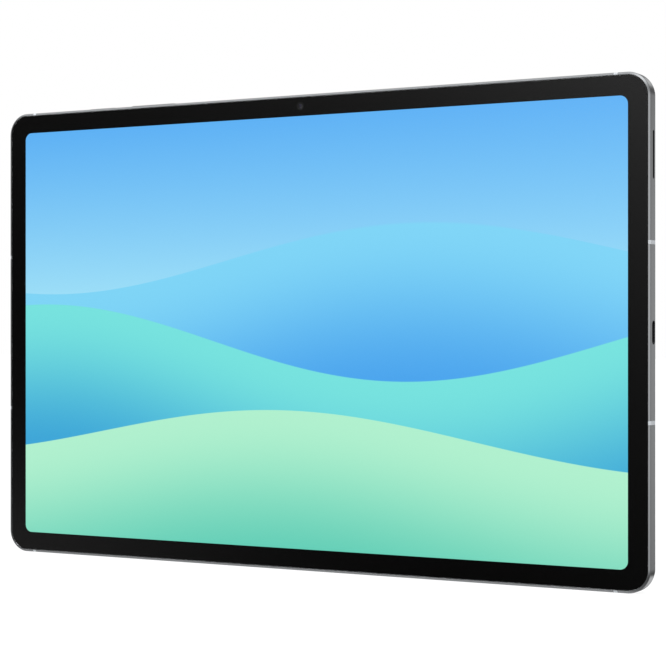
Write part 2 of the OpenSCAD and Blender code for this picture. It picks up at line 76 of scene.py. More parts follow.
# ---- meshes ----
def pieceFrom(name, mesh):
    piece = bpy.data.objects.new(name, mesh)
    bpy.context.scene.collection.objects.link(piece)
    return piece


def smoothed(mesh, angle=32):
    mesh.shade_smooth()
    mesh.set_sharp_from_angle(angle=math.radians(angle))
    return mesh


def loft(name, rings, wrap=False):
    # joins rings of points that have the same count, and caps both ends
    sheet = bmesh.new()
    rows = [[sheet.verts.new(point) for point in ring] for ring in rings]
    count = len(rows[0])
    pairs = list(zip(rows, rows[1:])) + ([(rows[-1], rows[0])] if wrap else [])
    for low, high in pairs:
        for k in range(count):
            nextK = (k + 1) % count
            sheet.faces.new((low[k], low[nextK], high[nextK], high[k]))
    if not wrap:
        sheet.faces.new(rows[0])
        sheet.faces.new(rows[-1])
    bmesh.ops.recalc_face_normals(sheet, faces=sheet.faces)
    mesh = bpy.data.meshes.new(name)
    sheet.to_mesh(mesh)
    sheet.free()
    return pieceFrom(name, smoothed(mesh))


def roundedLoop(halfX, halfY, radius, steps=24):
    points = []
    for corner in range(4):
        signX = 1 if corner in (0, 3) else -1
        signY = 1 if corner in (0, 1) else -1
        for k in range(steps + 1):
            turn = math.radians(90 * (corner + k / steps))
            points.append((signX * (halfX - radius) + radius * math.cos(turn),
                           signY * (halfY - radius) + radius * math.sin(turn)))
    return points


def slab(name, halfX, halfY, radius, stages):
    # a rounded sheet: each stage is how far its outline is drawn in, and its level
    rings = [[place(x, y, level) for x, y in roundedLoop(halfX - inset, halfY - inset, radius - inset)]
             for inset, level in stages]
    return loft(name, rings)


def pillLoop(length, width, grow, steps=14):
    radius = width / 2 + grow
    straight = (length - width) / 2
    points = []
    for end in (1, -1):
        for k in range(steps + 1):
            turn = math.radians(-90 + 180 * k / steps) + (0 if end > 0 else math.pi)
            points.append((end * straight + radius * math.cos(turn), radius * math.sin(turn)))
    return points


def edgePill(name, side, along, level, length, width, stages):
    # a pill that goes into an edge: each stage is how much it grows, and its depth
    rings = [[edgePlace(side, along + a, level + b, depth) for a, b in pillLoop(length, width, grow)]
             for grow, depth in stages]
    return loft(name, rings)


def disc(x, y, stages, steps=96):
    # a turned piece on the front or the back: each stage is a radius and a level
    turns = [2 * math.pi * k / steps for k in range(steps)]
    return [[place(x + r * math.cos(turn), y + r * math.sin(turn), level) for turn in turns]
            for r, level in stages]


def dome(radius, top, rise, steps=8):
    # stages of a shallow cap
    return [(radius * max(k, 0.03) / steps, top - rise * (k / steps) ** 2) for k in range(steps + 1)]


def bar(name, low, high):
    corners = [(low[0], low[1]), (high[0], low[1]), (high[0], high[1]), (low[0], high[1])]
    return loft(name, [[place(x, y, level) for x, y in corners] for level in (low[2], high[2])])


def joined(name, pieces):
    sheet = bmesh.new()
    for piece in pieces:
        sheet.from_mesh(piece.data)
        discard(piece)
    mesh = bpy.data.meshes.new(name)
    sheet.to_mesh(mesh)
    sheet.free()
    return pieceFrom(name, mesh)


def discard(piece):
    mesh = piece.data
    bpy.data.objects.remove(piece)
    if mesh.users == 0:
        bpy.data.meshes.remove(mesh)


def settled(piece, angle=32):
    # turns the evaluated modifiers into a plain mesh
    graph = bpy.context.evaluated_depsgraph_get()
    mesh = bpy.data.meshes.new_from_object(piece.evaluated_get(graph))
    piece.modifiers.clear()
    old = piece.data
    piece.data = mesh
    bpy.data.meshes.remove(old)
    smoothed(mesh, angle)
    return piece


def evened(piece, angle=32):
    # large flat faces keep their own shading beside fine roundings
    smoothed(piece.data, angle)
    even = piece.modifiers.new("even", "WEIGHTED_NORMAL")
    even.mode = "FACE_AREA"
    even.keep_sharp = True
    graph = bpy.context.evaluated_depsgraph_get()
    mesh = bpy.data.meshes.new_from_object(piece.evaluated_get(graph))
    piece.modifiers.clear()
    old = piece.data
    piece.data = mesh
    bpy.data.meshes.remove(old)


def cutBy(piece, cutters):
    for cutter in cutters:
        cut = piece.modifiers.new("cut", "BOOLEAN")
        cut.solver = "EXACT"
        cut.object = cutter
        settled(piece)
        discard(cutter)
    return piece


# ---- node trees ----
def shown(colour):
    # a colour given from 0 to 255, kept in the screen's own steps
    return tuple(c / 255 for c in colour) + (1.0,)


def linear(colour):
    # a colour given from 0 to 255, as the shaders want it
    def channel(c):
        c = c / 255
        return c / 12.92 if c <= 0.04045 else ((c + 0.055) / 1.055) ** 2.4
    return tuple(channel(c) for c in colour) + (1.0,)


class Wires:
    # short ways to add and join nodes of one tree
    def __init__(self, tree):
        self.tree = tree

    def node(self, kind, **values):
        made = self.tree.nodes.new(kind)
        for key, value in values.items():
            setattr(made, key, value)
        return made

    def feed(self, socket, value):
        if isinstance(value, bpy.types.NodeSocket):
            self.tree.links.new(value, socket)
        else:
            socket.default_value = value

    def math(self, operation, first, second=0.0, clamp=False):
        made = self.node("ShaderNodeMath", operation=operation, use_clamp=clamp)
        self.feed(made.inputs[0], first)
        self.feed(made.inputs[1], second)
        return made.outputs[0]

    def vector(self, operation, first, second):
        made = self.node("ShaderNodeVectorMath", operation=operation)
        self.feed(made.inputs[0], first)
        self.feed(made.inputs[1], second)
        return made.outputs["Value" if operation in ("DOT_PRODUCT", "LENGTH") else "Vector"]

    def steps(self, value, low, high, bottom=0.0, top=1.0, soft=True):
        made = self.node("ShaderNodeMapRange", interpolation_type="SMOOTHSTEP" if soft else "LINEAR")
        self.feed(made.inputs["Value"], value)
        for key, number in (("From Min", low), ("From Max", high), ("To Min", bottom), ("To Max", top)):
            self.feed(made.inputs[key], number)
        return made.outputs["Result"]

    def mix(self, factor, first, second):
        made = self.node("ShaderNodeMix", data_type="RGBA")
        self.feed(made.inputs["Factor"], factor)
        self.feed(made.inputs["A"], first)
        self.feed(made.inputs["B"], second)
        return made.outputs["Result"]

    def ramp(self, value, low, high, stops, tone=linear):
        # stops are (position, colour) pairs, with positions in the value's own units
        made = self.node("ShaderNodeValToRGB")
        elements = made.color_ramp.elements
        for k, (position, colour) in enumerate(stops):
            element = elements[k] if k < 2 else elements.new(1.0)
            element.position = (position - low) / (high - low)
            element.color = tone(colour)
        self.feed(made.inputs[0], self.steps(value, low, high, soft=False))
        return made.outputs["Color"]


# ---- materials ----
def newMaterial(name):
    material = bpy.data.materials.new(name)
    material.use_nodes = True
    wires = Wires(material.node_tree)
    shader = material.node_tree.nodes["Principled BSDF"]
    coordinates = wires.node("ShaderNodeTexCoord").outputs["Object"]
    return material, wires, shader, coordinates


def speckle(wires, coordinates, size, detail=3.0):
    # soft grains of about that size in metres
    grain = wires.node("ShaderNodeTexNoise")
    wires.feed(grain.inputs["Vector"], coordinates)
    grain.inputs["Scale"].default_value = 1 / size
    grain.inputs["Detail"].default_value = detail
    return grain.outputs["Fac"]


def finishOf(name, colour, rough=0.5, metal=0.0, grain=0.0004, tint=0.12, roughSpread=0.08, bump=0.15,
             depth=0.00001, coat=0.0, gloss=0.5, stretch=None, rearRough=None):
    # one finish: its colour and sheen wander a little, and fine grains give it a surface
    material, wires, shader, coordinates = newMaterial(name)
    if stretch:
        turn = wires.node("ShaderNodeMapping")
        wires.feed(turn.inputs["Vector"], coordinates)
        turn.inputs["Scale"].default_value = stretch
        coordinates = turn.outputs["Vector"]
    fine = speckle(wires, coordinates, grain)
    broad = speckle(wires, coordinates, grain * 40, 2.0)
    base = linear(colour)
    dark = tuple(c * (1 - tint) for c in base[:3]) + (1.0,)
    light = tuple(min(1.0, c * (1 + tint)) for c in base[:3]) + (1.0,)
    wires.feed(shader.inputs["Base Color"],
               wires.mix(wires.steps(wires.math("ADD", fine, broad), 0.7, 1.3), dark, light))
    sheen = wires.steps(broad, 0.3, 0.7, max(0.02, rough - roughSpread), min(1.0, rough + roughSpread))
    if rearRough:
        # the rear face is blasted more finely than the sides are polished
        level = wires.node("ShaderNodeSeparateXYZ")
        wires.feed(level.inputs[0], coordinates)
        extra = wires.steps(level.outputs["Y"], 0.65 * halfDepth, 0.95 * halfDepth, 0.0, rearRough - rough)
        sheen = wires.math("ADD", sheen, extra)
    wires.feed(shader.inputs["Roughness"], sheen)
    shader.inputs["Metallic"].default_value = metal
    shader.inputs["Coat Weight"].default_value = coat
    shader.inputs["Specular IOR Level"].default_value = gloss
    raised = wires.node("ShaderNodeBump")
    raised.inputs["Strength"].default_value = bump
    raised.inputs["Distance"].default_value = depth
    wires.feed(raised.inputs["Height"], fine)
    wires.feed(shader.inputs["Normal"], raised.outputs["Normal"])
    return material


# finish of each of the record's slots: colour, then sheen, metal and grain
finishes = {
    "frame_metal": dict(colour=(150, 152, 154), rough=0.17, metal=1.0, grain=0.00012, tint=0.02,
                        roughSpread=0.02, bump=0.04, depth=0.000001, rearRough=0.36),
    "band_plastic": dict(colour=(172, 176, 180), rough=0.42, grain=0.0003, tint=0.03, bump=0.06),
    "black_ink": dict(colour=(2, 2, 2), rough=0.5, grain=0.0005, tint=0.2, bump=0.02, gloss=0.0),
    "white_film": dict(colour=(228, 228, 222), rough=0.45, grain=0.003, tint=0.03),
    "black_foam": dict(colour=(22, 22, 24), rough=0.95, grain=0.0003, tint=0.3, bump=0.6, depth=0.00005),
    "amber_film": dict(colour=(150, 92, 28), rough=0.32, grain=0.0012, tint=0.18, coat=0.3),
    "steel": dict(colour=(150, 151, 154), rough=0.34, metal=1.0, grain=0.0006, tint=0.05, stretch=(1, 1, 14)),
    "screw_steel": dict(colour=(150, 150, 154), rough=0.28, metal=1.0, grain=0.0002, tint=0.08),
    "ring_metal": dict(colour=(168, 170, 173), rough=0.2, metal=1.0, grain=0.0001, tint=0.03, bump=0.04,
                       depth=0.000002),
    "dark_nickel": dict(colour=(72, 72, 75), rough=0.3, metal=1.0, grain=0.0004, tint=0.06, stretch=(1, 1, 8)),
    "graphite": dict(colour=(34, 34, 37), rough=0.6, grain=0.0008, tint=0.3),
    "battery_foil": dict(colour=(40, 43, 48), rough=0.42, grain=0.002, tint=0.15, bump=0.3, depth=0.00003),
    "black_film": dict(colour=(16, 16, 17), rough=0.5, grain=0.001, tint=0.2),
    "chip": dict(colour=(26, 26, 28), rough=0.6, grain=0.0003, tint=0.2, bump=0.2),
    "white_plastic": dict(colour=(214, 214, 208), rough=0.5, grain=0.0005, tint=0.03),
    "black_plastic": dict(colour=(5, 5, 6), rough=0.5, grain=0.0004, tint=0.2, bump=0.2, gloss=0.1),
    "gold": dict(colour=(226, 186, 96), rough=0.24, metal=1.0, grain=0.0003, tint=0.06),
    "mesh": dict(colour=(4, 4, 5), rough=0.5, grain=0.0002, tint=0.2, gloss=0.08),
    "led": dict(colour=(240, 222, 120), rough=0.35, grain=0.0004, tint=0.1),
    "seal_rubber": dict(colour=(150, 42, 30), rough=0.65, grain=0.0005, tint=0.15),
}
materials = {slotName: finishOf(slotName, **values) for slotName, values in finishes.items()}


def clearGlass(name, colour, rough, index):
    material, wires, shader, coordinates = newMaterial(name)
    shader.inputs["Base Color"].default_value = linear(colour)
    shader.inputs["Transmission Weight"].default_value = 1.0
    shader.inputs["IOR"].default_value = index
    smear = speckle(wires, coordinates, 0.03, 4.0)
    wires.feed(shader.inputs["Roughness"], wires.steps(smear, 0.3, 0.75, rough, rough * 2))
    return material


materials["glass"] = clearGlass("glass", (255, 255, 255), 0.004, 1.5)
materials["clear_adhesive"] = clearGlass("clear_adhesive", (252, 254, 255), 0.02, 1.45)
materials["clear_plastic"] = clearGlass("clear_plastic", (250, 248, 236), 0.16, 1.49)


def coatedLensPaintedGlint(name):
    # dark glass with thin coatings and a painted glint: its base colour goes from violet in the middle to teal at the
    # rim by viewing angle, standing in for the coloured reflections the coatings give
    material, wires, shader, coordinates = newMaterial(name)
    facing = wires.node("ShaderNodeLayerWeight")
    facing.inputs["Blend"].default_value = 0.35
    # painted glint colours, picked by how squarely the lens faces the view
    coatingGlintStops = [(0.0, (16, 10, 34)), (0.45, (10, 20, 52)), (1.0, (14, 44, 46))]
    tint = wires.ramp(facing.outputs["Facing"], 0, 1, coatingGlintStops)
    dust = speckle(wires, coordinates, 0.0006)
    wires.feed(shader.inputs["Base Color"], tint)
    wires.feed(shader.inputs["Roughness"], wires.steps(dust, 0.3, 0.8, 0.03, 0.07))
    shader.inputs["Specular IOR Level"].default_value = 0.3
    shader.inputs["Coat Weight"].default_value = 0.25
    shader.inputs["Coat Roughness"].default_value = 0.02
    return material


materials["lens"] = coatedLensPaintedGlint("lens")


def circuitBoard(name):
    # green lacquer over a grid of copper tracks
    material, wires, shader, coordinates = newMaterial(name)
    turn = wires.node("ShaderNodeMapping")
    wires.feed(turn.inputs["Vector"], coordinates)
    turn.inputs["Rotation"].default_value = (math.radians(90), 0, 0)
    tracks = wires.node("ShaderNodeTexBrick")
    wires.feed(tracks.inputs["Vector"], turn.outputs["Vector"])
    tracks.inputs["Scale"].default_value = 260
    tracks.inputs["Mortar Size"].default_value = 0.03
    tracks.inputs["Color1"].default_value = linear((12, 66, 46))
    tracks.inputs["Color2"].default_value = linear((16, 78, 54))
    tracks.inputs["Mortar"].default_value = linear((40, 116, 82))
    wires.feed(shader.inputs["Base Color"], tracks.outputs["Color"])
    lacquer = speckle(wires, coordinates, 0.004)
    wires.feed(shader.inputs["Roughness"], wires.steps(lacquer, 0.3, 0.7, 0.26, 0.4))
    shader.inputs["Coat Weight"].default_value = 0.4
    return material


materials["board"] = circuitBoard("board")

# the lit picture: plain waves before a pale sky
pictureShape = {
    "sky": ((170, 232, 248), (92, 176, 244)),     # at the lowest wave, and at the top
    "waves": (  # middle and size in heights, start of the wave in turns, colours at its crest and below
        (0.17, 0.075, 0.10, (126, 212, 246), (70, 160, 236)),
        (-0.02, 0.090, 0.62, (118, 226, 222), (52, 158, 214)),
        (-0.24, 0.060, 0.28, (176, 240, 206), (86, 200, 178)),
    ),
    "waveTurns": 0.8,       # across the picture
    "waveDepth": 0.42,      # how far down a wave its colour goes on changing, in heights
    "glow": 1.04,           # makes up for what the glass holds back
    "blackEdge": 0.0002,    # dark rim of the panel inside the printed border
    "nudge": 0.00012,       # how far the lit area sits off the middle
    "cornerRadius": 0.0032,
}


def litPicture(name, shape):
    material, wires, shader, coordinates = newMaterial(name)
    width = pictureHigh.x - pictureLow.x
    height = pictureHigh.z - pictureLow.z
    middle = (pictureHigh.z + pictureLow.z) / 2
    split = wires.node("ShaderNodeSeparateXYZ")
    wires.feed(split.inputs[0], coordinates)
    x = split.outputs["X"]
    z = wires.math("SUBTRACT", split.outputs["Z"], middle)
    blur = 0.00012
    half = width / 2
    black = shape["blackEdge"]
    low, high = shape["sky"]
    picture = wires.mix(wires.steps(z, 0.0, height / 2, soft=False), shown(low), shown(high))
    for middleShare, size, start, crest, foot in shape["waves"]:
        angle = wires.math("ADD", wires.math("MULTIPLY", x, 2 * math.pi * shape["waveTurns"] / width),
                           2 * math.pi * start)
        top = wires.math("ADD", wires.math("MULTIPLY", wires.math("SINE", angle), size * height),
                         middleShare * height)
        depth = wires.math("SUBTRACT", top, z)
        colour = wires.mix(wires.steps(depth, 0.0, shape["waveDepth"] * height), shown(crest), shown(foot))
        picture = wires.mix(wires.steps(depth, -blur, blur), picture, colour)

    # distance to the lit area's edge, with rounded corners
    def past(value, reach):
        return wires.math("MAXIMUM", wires.math("SUBTRACT", wires.math("ABSOLUTE", value), reach), 0.0)

    cornerRadius = shape["cornerRadius"]
    outX = past(wires.math("ADD", x, shape["nudge"]), half - black - cornerRadius)
    outZ = past(z, height / 2 - black - cornerRadius)
    squareX = wires.math("MULTIPLY", outX, outX)
    squareZ = wires.math("MULTIPLY", outZ, outZ)
    away = wires.math("SQRT", wires.math("ADD", squareX, squareZ))
    lit = wires.steps(away, cornerRadius + 0.00001, cornerRadius)

    # from the screen's steps to light
    parts = wires.node("ShaderNodeSeparateColor")
    wires.feed(parts.inputs[0], picture)
    light = wires.node("ShaderNodeCombineColor")
    for k in range(3):
        lifted = wires.math("DIVIDE", wires.math("ADD", parts.outputs[k], 0.055), 1.055)
        wires.feed(light.inputs[k], wires.math("MULTIPLY", wires.math("POWER", lifted, 2.4), lit))
    picture = light.outputs[0]

    shader.inputs["Base Color"].default_value = (0.004, 0.004, 0.005, 1.0)
    shader.inputs["Specular IOR Level"].default_value = 0.0
    shader.inputs["Roughness"].default_value = 0.4
    wires.feed(shader.inputs["Emission Color"], picture)
    shader.inputs["Emission Strength"].default_value = shape["glow"]
    return material


materials["screen"] = litPicture("screen", pictureShape)
print("materials made")


# ---- Geometry Nodes: a swept rim, and copies of a piece on marked spots ----
def nodeGroup(name, inputs):
    tree = bpy.data.node_groups.new(name, "GeometryNodeTree")
    tree.interface.new_socket("Geometry", in_out="INPUT", socket_type="NodeSocketGeometry")
    for socketName, kind in inputs:
        tree.interface.new_socket(socketName, in_out="INPUT", socket_type=kind)
    tree.interface.new_socket("Geometry", in_out="OUTPUT", socket_type="NodeSocketGeometry")
    wires = Wires(tree)
    return tree, wires, wires.node("NodeGroupInput").outputs, wires.node("NodeGroupOutput").inputs


def grown(piece, tree, values, material):
    # runs a tree on a piece with its named inputs, and keeps the result as a plain mesh
    grower = piece.modifiers.new(tree.name, "NODES")
    grower.node_group = tree
    for item in tree.interface.items_tree:
        if item.item_type == "SOCKET" and item.in_out == "INPUT" and item.name in values:
            grower[item.identifier] = values[item.name]
    settled(piece)
    piece.data.materials.clear()
    piece.data.materials.append(material)
    return piece


def rimTree():
    # sweeps the piece's own outline round a rectangle with rounded corners
    tree, wires, given, result = nodeGroup("sweptRim", [
        ("Width", "NodeSocketFloat"), ("Height", "NodeSocketFloat"), ("Corner", "NodeSocketFloat"),
        ("Corner Steps", "NodeSocketInt"), ("Finish", "NodeSocketMaterial")])
    path = wires.node("GeometryNodeCurvePrimitiveQuadrilateral")
    wires.feed(path.inputs["Width"], given["Width"])
    wires.feed(path.inputs["Height"], given["Height"])
    corners = wires.node("GeometryNodeFilletCurve")
    if "Mode" in corners.inputs:
        corners.inputs["Mode"].default_value = "Poly"
    else:
        corners.mode = "POLY"
    wires.feed(corners.inputs["Curve"], path.outputs["Curve"])
    wires.feed(corners.inputs["Radius"], given["Corner"])
    wires.feed(corners.inputs["Count"], given["Corner Steps"])
    upright = wires.node("GeometryNodeSetCurveNormal")
    if "Mode" in upright.inputs:
        upright.inputs["Mode"].default_value = "Z Up"
    else:
        upright.mode = "Z_UP"
    wires.feed(upright.inputs["Curve"], corners.outputs["Curve"])
    outline = wires.node("GeometryNodeMeshToCurve")
    wires.feed(outline.inputs["Mesh"], given["Geometry"])
    sweep = wires.node("GeometryNodeCurveToMesh")
    wires.feed(sweep.inputs["Curve"], upright.outputs["Curve"])
    wires.feed(sweep.inputs["Profile Curve"], outline.outputs["Curve"])
    stood = wires.node("GeometryNodeTransform")
    wires.feed(stood.inputs["Geometry"], sweep.outputs["Mesh"])
    stood.inputs["Translation"].default_value = (0, 0, halfHeight)
    stood.inputs["Rotation"].default_value = (math.radians(90), 0, 0)
    whole = wires.node("GeometryNodeRealizeInstances")
    wires.feed(whole.inputs["Geometry"], stood.outputs["Geometry"])
    painted = wires.node("GeometryNodeSetMaterial")
    wires.feed(painted.inputs["Geometry"], whole.outputs["Geometry"])
    wires.feed(painted.inputs["Material"], given["Finish"])
    wires.feed(result["Geometry"], painted.outputs["Geometry"])
    return tree


def copiesTree():
    # puts a copy of one piece on every spot, turned about the screen's axis
    tree, wires, given, result = nodeGroup("copiesOnSpots", [
        ("Piece", "NodeSocketObject"), ("Finish", "NodeSocketMaterial")])
    spots = wires.node("GeometryNodeMeshToPoints")
    wires.feed(spots.inputs["Mesh"], given["Geometry"])
    turn = wires.node("GeometryNodeInputNamedAttribute", data_type="FLOAT_VECTOR")
    turn.inputs["Name"].default_value = "turn"
    source = wires.node("GeometryNodeObjectInfo")
    wires.feed(source.inputs["Object"], given["Piece"])
    copies = wires.node("GeometryNodeInstanceOnPoints")
    wires.feed(copies.inputs["Points"], spots.outputs["Points"])
    wires.feed(copies.inputs["Instance"], source.outputs["Geometry"])
    wires.feed(copies.inputs["Rotation"], turn.outputs["Attribute"])
    whole = wires.node("GeometryNodeRealizeInstances")
    wires.feed(whole.inputs["Geometry"], copies.outputs["Instances"])
    painted = wires.node("GeometryNodeSetMaterial")
    wires.feed(painted.inputs["Geometry"], whole.outputs["Geometry"])
    wires.feed(painted.inputs["Material"], given["Finish"])
    wires.feed(result["Geometry"], painted.outputs["Geometry"])
    return tree


sweptRim = rimTree()
copiesOnSpots = copiesTree()


def copiesOf(name, piece, spots, material):
    # spots are (place, turn about the screen's axis)
    mesh = bpy.data.meshes.new(name)
    mesh.from_pydata([spot for spot, turn in spots], [], [])
    turns = mesh.attributes.new("turn", "FLOAT_VECTOR", "POINT")
    for k, (spot, turn) in enumerate(spots):
        turns.data[k].vector = (0, turn, 0)
    made = grown(pieceFrom(name, mesh), copiesOnSpots, {"Piece": piece, "Finish": material}, material)
    discard(piece)
    return made


def finished(piece, nodes, slotName, body=mainBody):
    # gives a piece its finish, its body and the CAD nodes it stands for
    evened(piece)
    piece.data.materials.clear()
    piece.data.materials.append(materials[slotName])
    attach(piece, body)
    if nodes:
        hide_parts(*nodes)
    return piece


# ---- metal frame ----
frameShape = {
    "rim": glassLow.x - frameLow.x - 0.00005,   # bare metal around the glass
    "corner": 0.0093,
    "chamfer": 30,        # degrees from the glass
    "frontRound": 0.00035,
    "rearRound": 0.0008,
    "cover": 0.0012,      # where the rear cover starts
    "lip": 0.0026,        # inner edge of the ledge under the cover
    "wall": 0.0018,
    "ledge": 0.0048,      # inner edge of the ledge under the glass
    "ledgeTop": 0.0021,
    "ledgeBottom": 0.001,
    "seat": -0.00212,
    "lipTop": -0.0014,
    "cornerSteps": 40,
    "arcSteps": 8,
    "bandWidth": 0.0015,
    "bandDepth": 0.001,
    "bandX": 0.1366,
    "bandY": 0.0336,
    "bandSeam": 0.00003,
}


def rimOutline(shape):
    # (distance in from the outer face, level) once round the frame's section
    front, rear = shape["frontRound"], shape["rearRound"]
    half = halfDepth
    lean = math.radians(shape["chamfer"])
    chamferIn = front * (1 - math.sin(lean))
    chamferLevel = half - (shape["rim"] - chamferIn) * math.tan(lean)
    points = [(shape["rim"] - 0.00004, half), (shape["rim"] - 0.0001, half - 0.00003)]
    for k in range(shape["arcSteps"] + 1):
        turn = lean + (math.pi / 2 - lean) * k / shape["arcSteps"]
        points.append((front * (1 - math.sin(turn)),
                       chamferLevel - front * (math.cos(lean) - math.cos(turn))))
    for k in range(shape["arcSteps"] + 1):
        turn = math.radians(90 * k / shape["arcSteps"])
        points.append((rear * (1 - math.cos(turn)), rear * (1 - math.sin(turn)) - half))
    points += [(shape["cover"] - 0.00006, -half), (shape["cover"], -half + 0.00006),
               (shape["cover"], shape["seat"]), (shape["lip"], shape["seat"]),
               (shape["lip"], shape["lipTop"]), (shape["wall"], shape["lipTop"]),
               (shape["wall"], shape["ledgeBottom"]), (shape["ledge"], shape["ledgeBottom"]),
               (shape["ledge"], shape["ledgeTop"]), (shape["rim"], shape["ledgeTop"]),
               (shape["rim"], half - 0.00004)]
    return points


# where things pass through the frame: side, along, level, length, width, mouth
def middleOf(node):
    low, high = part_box(node)
    return (low.x + high.x) / 2, (low.z + high.z) / 2 - halfHeight, -(low.y + high.y) / 2


powerX = middleOf("power_button")[0]
volumeX = middleOf("volume_rocker")[0]
trayX = middleOf("card_tray")[0]
speakerY = middleOf("speaker_mesh_right")[1]
micX = middleOf("microphone_top")[0]
micY = middleOf("microphone_left")[1]
openings = [
    ("right", 0.0, -0.00055, 0.00888, 0.0031, 0.00012),
    ("right", speakerY, -0.0005, 0.0181, 0.0015, 0.00012),
    ("left", speakerY, -0.0005, 0.0181, 0.0015, 0.00012),
    ("top", powerX, -0.0002, 0.014, 0.0022, 0.00008),
    ("top", volumeX, -0.0002, 0.0225, 0.0022, 0.00008),
    ("top", trayX, -0.00055, 0.0152, 0.0017, 0.00005),
    ("top", micX, -0.0005, 0.00081, 0.0008, 0.00008),
    ("left", micY, -0.0005, 0.00081, 0.0008, 0.00008),
]


def bandSpots(shape):
    x, y = shape["bandX"], shape["bandY"]
    quarter = math.pi / 2
    return [("right", y, 0.0), ("right", -y, 0.0), ("left", y, 2 * quarter), ("left", -y, 2 * quarter),
            ("top", x, -quarter), ("top", -x, -quarter), ("bottom", x, quarter), ("bottom", -x, quarter)]


def makeFrame(shape):
    outline = rimOutline(shape)
    mesh = bpy.data.meshes.new("frame_shell")
    count = len(outline)
    edges = [(k, (k + 1) % count) for k in range(count)]
    mesh.from_pydata([(-inset, -level, 0) for inset, level in outline], edges, [])
    shell = grown(pieceFrom("frame_shell", mesh), sweptRim, {
        "Width": 2 * halfWidth, "Height": 2 * halfHeight, "Corner": shape["corner"],
        "Corner Steps": shape["cornerSteps"], "Finish": materials["frame_metal"]}, materials["frame_metal"])
    sheet = bmesh.new()
    sheet.from_mesh(shell.data)
    bmesh.ops.remove_doubles(sheet, verts=sheet.verts, dist=1e-7)
    bmesh.ops.recalc_face_normals(sheet, faces=sheet.faces)
    sheet.to_mesh(shell.data)
    sheet.free()
    # room for the socket and for the front camera
    cutters = [bar("cut", (halfWidth - shape["ledge"] - 0.001, -0.005, -0.0027),
                   (halfWidth - shape["wall"] + 0.00001, 0.005, shape["ledgeBottom"] + 0.0001)),
               bar("cut", (-0.004, halfHeight - shape["ledge"] - 0.001, 0.0),
                   (0.004, halfHeight - shape["wall"] + 0.00001, 0.0027))]
    seamed = shape["bandWidth"] / 2 + shape["bandSeam"]
    for side, along, turn in bandSpots(shape):
        corners = [(along - seamed, -0.004), (along + seamed, -0.004),
                   (along + seamed, 0.004), (along - seamed, 0.004)]
        cutters.append(loft("cut", [[edgePlace(side, a, level, depth) for a, level in corners]
                                    for depth in (-0.001, shape["bandDepth"])]))
    for side, along, level, length, width, mouth in openings:
        cutters.append(edgePill("cut", side, along, level, length, width,
                                [(mouth + 0.0003, -0.0003), (0, mouth), (0, shape["wall"] + 0.0003)]))
    cutBy(shell, cutters)
    return finished(shell, ["frame"], "frame_metal")


def makeBands(shape):
    # one plug, cut from the frame's own outline, on each of the eight gaps
    depth = shape["bandDepth"] - 0.00001
    front = rimOutline(shape)[:2 * shape["arcSteps"] + 4]
    outside = [(inset, level) for inset, level in front if inset < depth]
    section = outside + [(depth, -halfDepth), (depth, shape["ledgeTop"] + 0.00001),
                         (shape["rim"], shape["ledgeTop"] + 0.00001)]
    half = shape["bandWidth"] / 2
    plug = loft("plug", [[Vector((-inset, -level, along)) for inset, level in section] for along in (-half, half)])
    spots = [(edgePlace(side, along, 0.0, 0.0), turn) for side, along, turn in bandSpots(shape)]
    bands = copiesOf("band_plugs", plug, spots, materials["band_plastic"])
    return finished(bands, ["antenna_bands"], "band_plastic")


makeFrame(frameShape)
makeBands(frameShape)
print("frame and bands made")

# ---- glass and rear cover ----
glassShape = {"edge": 0.00008, "sink": 0.000005}
glassInset = glassLow.x - frameLow.x
glassRear = -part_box("optical_adhesive")[1].y - glassShape["sink"]
edge = glassShape["edge"]
coverGlass = slab("cover_glass_pane", halfWidth - glassInset, halfHeight - glassInset,
                  frameShape["corner"] - glassInset,
                  [(edge, glassRear), (0, glassRear + edge), (0, halfDepth - edge),
                   (edge * 0.3, halfDepth - edge * 0.3), (edge, halfDepth)])
finished(coverGlass, ["cover_glass", "optical_adhesive"], "glass")

coverShape = {"gap": 0.00006, "edge": 0.00012, "holeEdge": 0.0001}
ringX, ringY = middleOf("rear_camera_ring")[:2]
flashX, flashY = middleOf("flash_lens")[:2]


def makeRearCover(shape):
    inset = frameShape["cover"] + shape["gap"]
    rear = -halfDepth
    inner = -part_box("rear_cover")[0].y
    edge = shape["edge"]
    cover = slab("rear_cover_plate", halfWidth - inset, halfHeight - inset, frameShape["corner"] - inset,
                 [(edge, rear), (edge * 0.3, rear + edge * 0.3), (0, rear + edge), (0, inner)])
    bevel = shape["holeEdge"]
    cutters = []
    for x, y, radius in ((ringX, ringY, 0.006), (flashX, flashY, 0.0017)):
        cutters.append(loft("cut", disc(x, y, [(radius + bevel + 0.0003, rear - 0.0003), (radius, rear + bevel),
                                                      (radius, inner + 0.0005)])))
    cutBy(cover, cutters)
    return finished(cover, ["rear_cover"], "frame_metal")


makeRearCover(coverShape)
print("glass and cover made")

# ---- keys ----
keyShape = {"width": 0.002, "level": -0.0002, "crown": 0.00022, "flangeOver": 0.0012, "flange": 0.0006,
            "nub": 0.0006}


